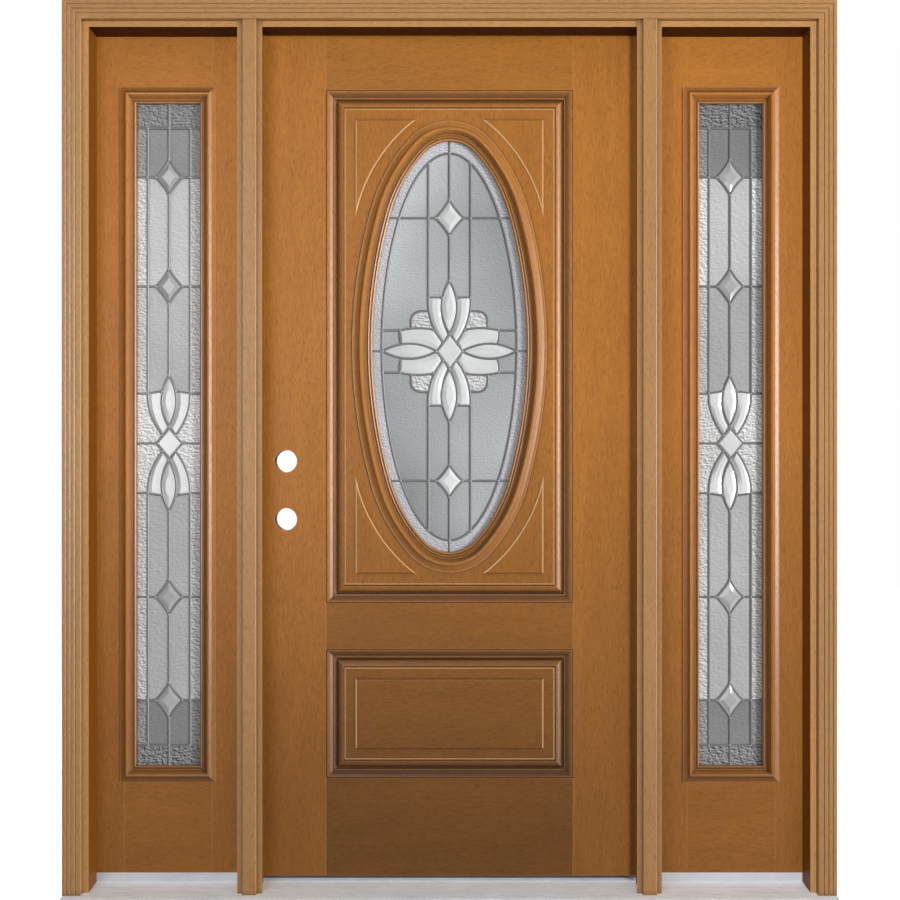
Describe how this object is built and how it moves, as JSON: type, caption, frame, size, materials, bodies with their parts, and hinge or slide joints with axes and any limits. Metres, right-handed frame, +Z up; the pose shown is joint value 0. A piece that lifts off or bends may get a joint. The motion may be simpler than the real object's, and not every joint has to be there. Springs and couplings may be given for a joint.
{
  "type": "front entry door unit with oval glass and two sidelites",
  "caption": "Framed entry door unit: an inswing panelled leaf with an oval leaded light between two fixed leaded sidelites, on a metal sill with brickmould casing.",
  "frame": {"origin": "underside of the sill, below the middle of the leaf, in the plane of the outer wall face", "axes": "+Z up, +X to the right seen from outside, +Y into the house"},
  "size_m": [1.8124, 0.164, 2.1145],
  "materials": {
    "door_wood": "satin stained",
    "frame_wood": "satin stained",
    "sill_metal": "mill",
    "sill_core": "raw",
    "seal": "matte",
    "hinge_metal": "satin",
    "glass": "textured"
  },
  "bodies": {
    "frame": {"sill_base": "sill_core", "sill_deck": "sill_metal", "sill_cap": "sill_metal", "left_sidelite_riser": "sill_metal", "right_sidelite_riser": "sill_metal", "left_jamb": "frame_wood", "right_jamb": "frame_wood", "head_jamb": "frame_wood", "left_mullion": "frame_wood", "right_mullion": "frame_wood", "left_mullion_cover": "frame_wood", "right_mullion_cover": "frame_wood", "door_weatherstrip": "seal", "left_brickmould": "frame_wood", "right_brickmould": "frame_wood", "head_brickmould": "frame_wood", "frame_hinge_leaves": "hinge_metal", "hinge_pins": "hinge_metal", "left_sidelite_stiles": "door_wood", "left_sidelite_rails": "door_wood", "left_sidelite_frame_outside": "door_wood", "left_sidelite_frame_inside": "door_wood", "left_sidelite_glass": "glass", "right_sidelite_stiles": "door_wood", "right_sidelite_rails": "door_wood", "right_sidelite_frame_outside": "door_wood", "right_sidelite_frame_inside": "door_wood", "right_sidelite_glass": "glass"},
    "door": {"lock_stile": "door_wood", "hinge_stile": "door_wood", "top_rail": "door_wood", "lock_rail": "door_wood", "bottom_rail": "door_wood", "upper_panel": "door_wood", "lower_panel": "door_wood", "upper_moulding_outside": "door_wood", "upper_moulding_inside": "door_wood", "lower_moulding_outside": "door_wood", "lower_moulding_inside": "door_wood", "oval_frame_outside": "door_wood", "oval_frame_inside": "door_wood", "oval_glass": "glass", "door_sweep": "seal", "door_hinge_leaves": "hinge_metal"}
  },
  "joints": [
    {"name": "door_swing", "type": "hinge", "parent": "frame", "child": "door", "pos_m": [0.4565, 0.1235, 1], "axis": [0, 0, -1], "range_deg": [0, 165]}
  ]
}
